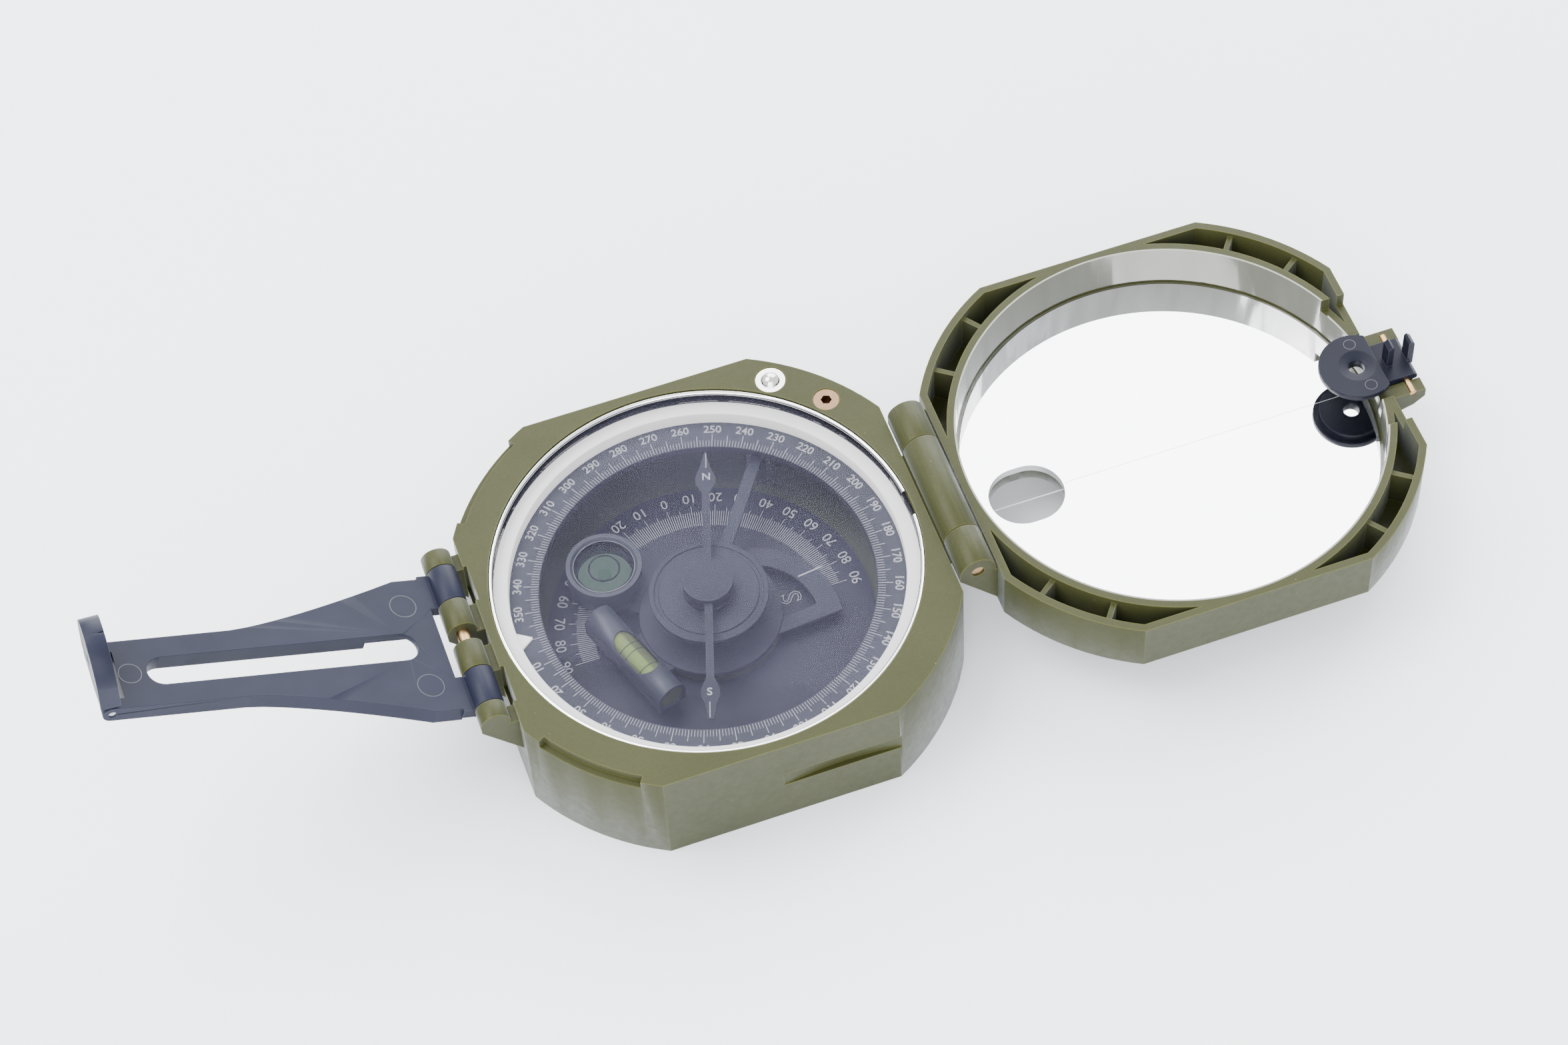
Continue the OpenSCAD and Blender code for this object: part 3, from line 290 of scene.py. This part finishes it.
def clear(name, tint, gloss_tint, film_tone=(0.5, 0.5, 0.6), film_share=0.0, ior=1.5, rough=0.02):
    """A clear sheet: light goes straight through, with a Fresnel reflection and a faint diffuse film."""
    s = Shader(name)
    s.nodes.remove(s.bsdf)
    through = s.node("ShaderNodeBsdfTransparent")
    through.inputs["Color"].default_value = (*tint, 1)
    film = s.node("ShaderNodeBsdfDiffuse")
    film.inputs["Color"].default_value = (*film_tone, 1)
    veil = s.node("ShaderNodeMixShader")
    film_spread = s.span(s.noise(45, 4), film_share * 0.7, film_share * 1.3)
    s.link(film_spread, veil.inputs["Fac"])
    s.link(through.outputs[0], veil.inputs[1])
    s.link(film.outputs[0], veil.inputs[2])
    gloss = s.node("ShaderNodeBsdfGlossy")
    gloss.inputs["Color"].default_value = (*gloss_tint, 1)
    s.link(s.span(s.noise(70, 3), rough * 0.6, rough * 1.8), gloss.inputs["Roughness"])
    fresnel = s.node("ShaderNodeFresnel")
    fresnel.inputs["IOR"].default_value = ior
    blend = s.node("ShaderNodeMixShader")
    s.link(fresnel.outputs[0], blend.inputs["Fac"])
    s.link(veil.outputs[0], blend.inputs[1])
    s.link(gloss.outputs[0], blend.inputs[2])
    s.link(blend.outputs[0], s.out.inputs["Surface"])
    return s.mat


def mirror_glass():
    s = Shader("silvered_mirror")
    s.set(Metallic=1.0, Coat_Weight=0.3, Coat_Roughness=0.02)
    tone = s.ramp(s.noise(20, 2), [(0.3, (0.90, 0.905, 0.915)), (0.7, (0.93, 0.935, 0.945))])
    return s.finish_with(tone, s.span(s.noise(160, 4), 0.004, 0.016))


def rubber():
    s = Shader("black_rubber")
    tone = s.ramp(s.noise(900, 3), [(0.3, (0.012, 0.012, 0.013)), (0.7, (0.022, 0.022, 0.023))])
    return s.finish_with(tone, s.span(s.noise(700), 0.6, 0.8), s.bump(s.noise(1500), 0.01 * MM, 0.4))


def level_floor():
    """The pale green floor under the round level's spirit."""
    s = Shader("pale_green_floor")
    tone = s.ramp(s.noise(90, 3), [(0.3, (0.26, 0.42, 0.31)), (0.7, (0.33, 0.50, 0.38))])
    # Emission is painted light: the green floor glows brighter than the lamps alone make it.
    s.set(Emission_Strength=0.25)
    s.bsdf.inputs["Emission Color"].default_value = (0.55, 0.80, 0.62, 1)
    return s.finish_with(tone, s.span(s.noise(400), 0.4, 0.6))


def dyed_liquid(name, colour, glow):
    """Dyed spirit: tinted, with an even painted glow that stands in for the light collecting in it."""
    s = Shader(name)
    tone = s.ramp(s.noise(120, 3), [(0.3, tuple(c * 0.88 for c in colour)), (0.7, colour)])
    s.set(Transmission_Weight=0.35, IOR=1.36, Emission_Strength=glow)
    s.bsdf.inputs["Emission Color"].default_value = (*colour, 1)
    return s.finish_with(tone, s.span(s.noise(500), 0.06, 0.14))


screw_low, screw_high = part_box("adjuster_screw")
screw_at = ((screw_low.x + screw_high.x) / 2, (screw_low.y + screw_high.y) / 2)

mirror_low, mirror_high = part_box("lid_mirror")
lid_centre = ((mirror_low.x + mirror_high.x) / 2, (mirror_low.y + mirror_high.y) / 2)
bore_radius = (mirror_high.x - mirror_low.x) / 2 + 0.9 * MM

OLIVE = olive_plastic("olive_moulded_plastic", (0.025, 0.027, 0.006), (0.031, 0.033, 0.009))
LID_OLIVE = olive_plastic("olive_lid_plastic", (0.025, 0.027, 0.006), (0.031, 0.033, 0.009),
                          (lid_centre, bore_radius))
FLOOR_OLIVE = olive_plastic("olive_cover_plastic", (0.060, 0.072, 0.034), (0.070, 0.082, 0.042))
# The blue cast in the arm's colour is a painted reflection of the bright surroundings.
ARM = dark_plastic("black_arm_plastic", (0.011, 0.0125, 0.024), (0.36, 0.48), (0.07, 0.075, 0.10), shine=0.12)
SIGHT = dark_plastic("black_sight_plastic", (0.007, 0.0078, 0.014), (0.34, 0.44), shine=0.10)
PLATE = dark_plastic("dark_dial_plate", (0.013, 0.0145, 0.026), (0.45, 0.52), (0.035, 0.035, 0.045),
                     grain=0, shine=0.35)
SLATE = dark_plastic("slate_plastic", (0.030, 0.033, 0.048), (0.38, 0.46), (0.10, 0.105, 0.125),
                     grain=0, shine=0.3)
LEVEL_SLATE = dark_plastic("level_slate_plastic", (0.052, 0.057, 0.074), (0.32, 0.42), (0.13, 0.135, 0.15),
                           grain=0, shine=0.4)
FRAME = dark_plastic("clinometer_slate_plastic", (0.027, 0.030, 0.044), (0.44, 0.52), (0.075, 0.08, 0.10),
                     grain=0, shine=0.35)
RING = dark_plastic("graduated_ring_plastic", (0.055, 0.059, 0.072), (0.48, 0.56), (0.1, 0.1, 0.11),
                    grain=0, shine=0.3)
WHITE = white_plastic()
PRINT = print_white()
BRASS = turned_metal("turned_brass", (0.42, 0.27, 0.13), (0.26, 0.42))
SCREW_BRASS = turned_metal("adjuster_brass", (0.20, 0.125, 0.075), (0.24, 0.38), screw_at)
STEEL = turned_metal("turned_steel", (0.40, 0.40, 0.41), (0.22, 0.36))
BUTTON = polished("polished_nickel", (0.66, 0.645, 0.62), 0.07)
WIRE = polished("spring_wire_chrome", (0.88, 0.88, 0.88), 0.05)
# The cover glass's bluish film is a painted reflection: it stands in for the veil of reflected light, while
# its own gloss is kept faint.
GLASS = clear("cover_glass_clear", (0.97, 0.97, 0.985), (0.03, 0.03, 0.04), (0.42, 0.42, 0.60), 0.026)
VIAL = clear("vial_glass_clear", (0.97, 0.985, 0.97), (0.04, 0.042, 0.044))
TUBE_VIAL = clear("tube_vial_glass", (0.82, 0.90, 0.60), (0.10, 0.10, 0.10), (0.40, 0.46, 0.20), 0.45)
MIRROR = mirror_glass()
RUBBER = rubber()
RED = dark_plastic("ruby_jewel", (0.35, 0.02, 0.04), (0.1, 0.2), (0.5, 0.1, 0.1))
TUBE_LIQUID = dyed_liquid("yellow_green_spirit", (0.44, 0.54, 0.16), 0.7)
ROUND_LIQUID = clear("pale_green_spirit", (0.90, 0.98, 0.92), (0.03, 0.032, 0.03), ior=1.36)
LEVEL_FLOOR = level_floor()
LINING = polished("silvery_lining", (0.72, 0.76, 0.74), 0.30)
MOULD_MARK = dark_plastic("mould_mark", (0.012, 0.013, 0.020))
FINE_LINE = dark_plastic("fine_line", (0.30, 0.31, 0.33))

FINISH = {
    OLIVE: ["case"],
    LID_OLIVE: ["lid_shell"],
    FLOOR_OLIVE: ["base_cover"],
    ARM: ["sight_arm", "tip_sight"],
    SIGHT: ["short_sight", "clinometer_lever"],
    PLATE: ["dial_plate", "ring_carrier"],
    FRAME: ["clinometer_bracket"],
    SLATE: ["lift_lever", "lift_disc", "needle_bar", "needle_cap"],
    LEVEL_SLATE: ["tube_level_case", "round_level_cup"],
    RING: ["azimuth_ring"],
    WHITE: ["index_ring"],
    PRINT: ["sight_line"],
    BRASS: ["shaft_bushing", "arm_hinge_pin", "adjuster_pinion", "friction_washer", "lid_hinge_pin",
            "short_sight_pin"],
    SCREW_BRASS: ["adjuster_screw"],
    STEEL: ["base_screws", "dial_screws", "fulcrum_bracket", "fulcrum_pin", "button_spring", "pivot_post",
            "clinometer_shaft", "lever_screw", "tip_pin"],
    BUTTON: ["lock_button"],
    WIRE: ["retaining_ring"],
    GLASS: ["cover_glass"],
    VIAL: ["round_level_vial"],
    TUBE_VIAL: ["tube_level_vial"],
    MIRROR: ["lid_mirror"],
    RUBBER: ["cover_seal", "glass_gasket"],
    RED: ["needle_jewel"],
    TUBE_LIQUID: ["tube_level_liquid"],
    ROUND_LIQUID: ["round_level_liquid"],
}

for material, names in FINISH.items():
    for name in names:
        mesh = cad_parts[name].data
        mesh.materials.clear()
        mesh.materials.append(material)


# ---------------------------------------------------------------- soft edges on the moulded pieces

def soften(name, width, segments=2, angle=32):
    """Rounds a CAD piece's edges with modifiers, so that its own mesh stays as it is."""
    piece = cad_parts[name]
    weld = piece.modifiers.new("weld", "WELD")
    weld.merge_threshold = 0.0005 * MM
    bevel = piece.modifiers.new("round", "BEVEL")
    bevel.width = width * MM
    bevel.segments = segments
    bevel.limit_method = "ANGLE"
    bevel.angle_limit = math.radians(angle)
    bevel.use_clamp_overlap = True
    bevel.miter_outer = "MITER_ARC"
    bevel.harden_normals = True


for name, width in (("case", 0.22), ("lid_shell", 0.22), ("sight_arm", 0.15), ("tip_sight", 0.25),
                    ("short_sight", 0.12), ("index_ring", 0.15), ("needle_cap", 0.25), ("lock_button", 0.12),
                    ("adjuster_screw", 0.12), ("tube_level_case", 0.2), ("round_level_cup", 0.2),
                    ("lift_disc", 0.12), ("base_cover", 0.2), ("clinometer_bracket", 0.12)):
    soften(name, width)


# ---------------------------------------------------------------- print and small detail

def piece_from(bm, name, material, body):
    mesh = bpy.data.meshes.new(name)
    bm.to_mesh(mesh)
    bm.free()
    made = bpy.data.objects.new(name, mesh)
    bpy.context.scene.collection.objects.link(made)
    mesh.materials.append(material)
    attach(made, body)
    return made


def add_bar(bm, start, end, width, low, high):
    """A thin straight bar from start to end, both points in the plane."""
    start, end = Vector(start), Vector(end)
    along = (end - start).normalized()
    side = Vector((-along.y, along.x)) * width / 2
    corners = [start + side, start - side, end - side, end + side]
    rows = [[bm.verts.new((c.x, c.y, z)) for c in corners] for z in (low, high)]
    bm.faces.new(rows[0])
    bm.faces.new(rows[1][::-1])
    for i in range(4):
        j = (i + 1) % 4
        bm.faces.new((rows[0][j], rows[0][i], rows[1][i], rows[1][j]))


def add_ring(bm, centre, inner, outer, low, high, steps=96, start=0.0, stop=360.0):
    """A flat ring, or an arc of one, with a rectangular section."""
    whole = stop - start >= 360
    count = steps if whole else steps + 1
    loops = []
    for i in range(count):
        a = math.radians(start + (stop - start) * i / steps)
        ray = Vector((math.cos(a), math.sin(a)))
        loops.append([bm.verts.new((centre[0] + r * ray.x, centre[1] + r * ray.y, z))
                      for r, z in ((inner, low), (outer, low), (outer, high), (inner, high))])
    for i in range(steps):
        here, there = loops[i], loops[(i + 1) % count]
        for k in range(4):
            m = (k + 1) % 4
            bm.faces.new((here[k], there[k], there[m], here[m]))
    if not whole:
        bm.faces.new(loops[0])
        bm.faces.new(loops[-1][::-1])


def add_text(bm, words, size, place, outline=None, bold=0.0):
    """Words centred at the origin of the place matrix, lying in its XY plane."""
    curve = bpy.data.curves.new("words", "FONT")
    curve.body = words
    curve.size = size
    curve.align_x = "CENTER"
    curve.align_y = "CENTER"
    curve.resolution_u = 4
    if outline:
        curve.fill_mode = "NONE"
        curve.bevel_depth = outline
        curve.bevel_resolution = 1
    else:
        curve.extrude = LIFT
        curve.offset = bold
    holder = bpy.data.objects.new("words", curve)
    bpy.context.scene.collection.objects.link(holder)
    bpy.context.view_layer.update()
    mesh = bpy.data.meshes.new_from_object(holder.evaluated_get(bpy.context.evaluated_depsgraph_get()))
    mesh.transform(place)
    bm.from_mesh(mesh)
    bpy.data.objects.remove(holder)
    bpy.data.curves.remove(curve)
    bpy.data.meshes.remove(mesh)


def polar(radius, degrees):
    a = math.radians(degrees)
    return Vector((radius * math.cos(a), radius * math.sin(a)))


def on_circle(radius, degrees, height, turn):
    """A place on a circle, with the words' top turned by that many degrees from the ray outwards."""
    spot = polar(radius, degrees)
    turned = Matrix.Rotation(math.radians(degrees - 90 + turn), 4, "Z")
    return Matrix.Translation((spot.x, spot.y, height)) @ turned


def graduated_ring():
    """Degree marks every degree, numbered every ten, with the numbers' tops outward."""
    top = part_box("azimuth_ring")[1].z
    bm = bmesh.new()
    for degree in range(360):
        length = 2.43 if degree % 10 == 0 else 2.13 if degree % 5 == 0 else 1.23
        width = 0.12 if degree % 5 == 0 else 0.09
        angle = 180 + degree
        add_bar(bm, polar(RING_MARKS_FROM, angle), polar(RING_MARKS_FROM + length * MM, angle), width * MM,
                top - LIFT, top + LIFT)
    piece_from(bm, "ring_marks", PRINT, "graduated_ring")
    bm = bmesh.new()
    for number in range(0, 360, 10):
        place = on_circle(RING_NUMBERS_AT, 180 + number, top, 0)
        add_text(bm, str(number), RING_NUMBER_SIZE, place, bold=0.03 * MM)
    piece_from(bm, "ring_numbers", PRINT, "graduated_ring")


def clinometer_scale():
    """Two scales of 90 degrees each side of the far side's zero, with the numbers' tops to the centre."""
    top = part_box("dial_plate")[1].z
    bm = bmesh.new()
    for degree in range(-90, 91):
        tall = 24.0 if degree % 10 == 0 else 23.4 if degree % 5 == 0 else 22.7
        add_bar(bm, polar(SCALE_MARKS_FROM, 90 - degree), polar(tall * MM, 90 - degree), 0.09 * MM,
                top - LIFT, top + LIFT)
    piece_from(bm, "clinometer_marks", PRINT, "case")
    bm = bmesh.new()
    for degree in range(-90, 91, 10):
        add_text(bm, str(abs(degree)), SCALE_NUMBER_SIZE, on_circle(SCALE_NUMBERS_AT, 90 - degree, top, 180))
    piece_from(bm, "clinometer_numbers", PRINT, "case")
    bm = bmesh.new()
    for letter, angle in (("S", 0), ("E", 90), ("N", 180)):
        place = on_circle(PLATE_LETTERS_AT, angle, top, 180)
        add_text(bm, letter, PLATE_LETTER_SIZE, place, outline=0.07 * MM)
    piece_from(bm, "plate_letters", PRINT, "case")


def needle_marks():
    """The needle's letters and the white line at each of its tips."""
    low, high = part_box("needle_bar")
    top = high.z
    angle = math.degrees(math.atan2(high.y - low.y, high.x - low.x))
    bm = bmesh.new()
    for turn, letter in ((0, "N"), (180, "S")):
        a = angle + turn
        add_bar(bm, polar(NEEDLE_HALF - 3.3 * MM, a), polar(NEEDLE_HALF - 0.35 * MM, a), 0.16 * MM,
                top - LIFT, top + LIFT)
        add_text(bm, letter, 2.0 * MM, on_circle(NEEDLE_HALF - NEEDLE_LETTER_BACK, a, top, turn),
                 bold=0.04 * MM)
    piece_from(bm, "needle_marks", PRINT, "needle")


def centre_of(name):
    low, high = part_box(name)
    return (low + high) / 2


cup_centre = centre_of("round_level_cup")
index_turn = math.degrees(math.atan2(cup_centre.y, cup_centre.x)) - ROUND_LEVEL_TURN


def index_line():
    """The white line on the clinometer's frame that points at its scale."""
    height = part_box("round_level_cup")[0].z - 0.08 * MM
    bm = bmesh.new()
    add_bar(bm, polar(INDEX_FROM, index_turn), polar(INDEX_TO, index_turn), 0.27 * MM,
            height - LIFT, height + LIFT)
    piece_from(bm, "index_line", PRINT, "clinometer")


def round_level_details():
    """Green floor, silvery lining and black circle."""
    low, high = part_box("round_level_liquid")
    centre = ((low.x + high.x) / 2, (low.y + high.y) / 2)
    bm = bmesh.new()
    add_ring(bm, centre, 0.01 * MM, (high.x - low.x) / 2 - 0.05 * MM,
             low.z + 0.03 * MM, low.z + 0.05 * MM, 64)
    piece_from(bm, "round_level_floor", LEVEL_FLOOR, "clinometer")
    rim_low, rim_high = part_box("round_level_vial")
    radius = (rim_high.x - rim_low.x) / 2
    bm = bmesh.new()
    add_ring(bm, centre, radius + 0.01 * MM, radius + 0.035 * MM, rim_low.z + 0.2 * MM, rim_high.z, 96)
    piece_from(bm, "round_level_lining", LINING, "clinometer")
    bm = bmesh.new()
    add_ring(bm, centre, *LEVEL_CIRCLE, high.z, high.z + LIFT, 64)
    piece_from(bm, "round_level_circle", SIGHT, "clinometer")


def tube_level_lines():
    """Thin black lines round the vial, two each side of where the bubble rests."""
    centre = centre_of("tube_level_case")
    low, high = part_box("tube_level_vial")
    spot = Vector((centre.x, centre.y, (low.z + high.z) / 2))
    radius = (high.z - low.z) / 2
    place = (Matrix.Translation(spot) @ Matrix.Rotation(math.radians(index_turn + TUBE_LEVEL_TURN), 4, "Z")
             @ Matrix.Rotation(math.radians(-90), 4, "X"))
    bm = bmesh.new()
    near, far = TUBE_LINES_AT
    for offset in (-far, -near, near, far):
        at = TUBE_BUBBLE_AT + offset
        add_ring(bm, (0, 0), radius + 0.003 * MM, radius + 0.03 * MM, at - 0.06 * MM, at + 0.06 * MM, 64)
    bm.transform(place)
    piece_from(bm, "tube_level_lines", SIGHT, "clinometer")


def mirror_line():
    """The fine line along the mirror, from the window to under the short sight."""
    top = mirror_high.z
    wire_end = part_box("sight_line")[1].x
    bm = bmesh.new()
    add_bar(bm, (wire_end + 0.3 * MM, 0), (mirror_high.x - 1.0 * MM, 0), 0.07 * MM, top, top + 0.4 * LIFT)
    piece_from(bm, "mirror_line", FINE_LINE, "lid")


def mould_marks():
    """Round ejector marks on the arm's face and on the short sight's disc."""
    pin = centre_of("arm_hinge_pin")
    place = Matrix.Translation(pin) @ Matrix.Rotation(math.radians(ARM_RAISE), 4, "Y")
    bm = bmesh.new()
    for along, across, radius in ((-56.1, 0, 1.9), (-8.3, 8.1, 2.25), (-8.3, -8.1, 2.25)):
        add_ring(bm, (along * MM, across * MM), (radius - 0.12) * MM, radius * MM, ARM_FACE - LIFT,
                 ARM_FACE + 0.3 * LIFT, 48)
    bm.transform(place)
    piece_from(bm, "arm_mould_marks", MOULD_MARK, "sight_arm")
    disc_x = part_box("short_sight")[0].x + 6.5 * MM
    face = mark_height("short_sight", (disc_x, 4.4 * MM))
    bm = bmesh.new()
    for side in (-1, 1):
        add_ring(bm, (disc_x + 0.6 * MM, side * 4.5 * MM), 0.95 * MM, 1.05 * MM,
                 face - LIFT, face + 0.3 * LIFT, 32)
    piece_from(bm, "short_sight_mould_marks", MOULD_MARK, "short_sight")


def mark_height(name, spot):
    """How high a piece's upper face stands at a spot."""
    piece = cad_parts[name]
    inverse = piece.matrix_world.inverted()
    start = inverse @ Vector((spot[0], spot[1], 0.2))
    hit, at, _, _ = piece.ray_cast(start, inverse.to_3x3() @ Vector((0, 0, -1)))
    return (piece.matrix_world @ at).z if hit else 0.0


graduated_ring()
clinometer_scale()
needle_marks()
index_line()
round_level_details()
tube_level_lines()
mirror_line()
mould_marks()


# ---------------------------------------------------------------- floor, light and camera

def studio():
    bm = bmesh.new()
    bmesh.ops.create_grid(bm, x_segments=1, y_segments=1, size=3.0)
    mesh = bpy.data.meshes.new("floor")
    bm.to_mesh(mesh)
    bm.free()
    floor = bpy.data.objects.new("floor", mesh)
    bpy.context.scene.collection.objects.link(floor)
    s = Shader("pale_floor")
    colour = s.ramp(s.noise(3, 2), [(0.3, (0.86, 0.875, 0.905)), (0.7, (0.875, 0.89, 0.92))])
    mesh.materials.append(s.finish_with(colour, s.span(s.noise(40), 0.55, 0.65)))
    world = bpy.data.worlds.new("studio")
    bpy.context.scene.world = world
    world.use_nodes = True
    sky = world.node_tree.nodes["Background"]
    sky.inputs["Color"].default_value = (0.93, 0.95, 1.0, 1)
    sky.inputs["Strength"].default_value = 2.2
    for name, place, size, power in (("key", (-0.55, 0.35, 1.1), 0.9, 25.0),
                                     ("fill", (-0.3, -0.9, 0.6), 1.1, 22.0),
                                     ("back", (0.523, 0.983, 0.672), 1.4, 43.0)):
        lamp = bpy.data.lights.new(name, "AREA")
        lamp.shape = "SQUARE"
        lamp.size = size
        lamp.energy = power
        holder = bpy.data.objects.new(name, lamp)
        bpy.context.scene.collection.objects.link(holder)
        holder.location = place
        holder.rotation_euler = (-Vector(place)).to_track_quat("-Z", "Y").to_euler()


def camera():
    """The camera looks down at the compass from its near side, a little from the left and slightly rolled."""
    azimuth, elevation, roll = math.radians(-15.9), math.radians(55.46), math.radians(-4.15)
    target = Vector((16.704, 10.328, 10.0)) * MM
    distance = 671.9 * MM
    back = Vector((math.sin(azimuth) * math.cos(elevation), -math.cos(azimuth) * math.cos(elevation),
                   math.sin(elevation)))
    right = Vector((math.cos(azimuth), math.sin(azimuth), 0))
    up = back.cross(right)
    across = math.cos(roll) * right + math.sin(roll) * up
    upward = -math.sin(roll) * right + math.cos(roll) * up
    data = bpy.data.cameras.new("camera")
    data.lens = 91.8
    data.sensor_width = 36
    data.sensor_fit = "HORIZONTAL"
    data.clip_start = 0.01
    holder = bpy.data.objects.new("camera", data)
    bpy.context.scene.collection.objects.link(holder)
    turned = Matrix((across, upward, back)).transposed().to_4x4()
    holder.matrix_world = Matrix.Translation(target + back * distance) @ turned
    bpy.context.scene.camera = holder


studio()
camera()
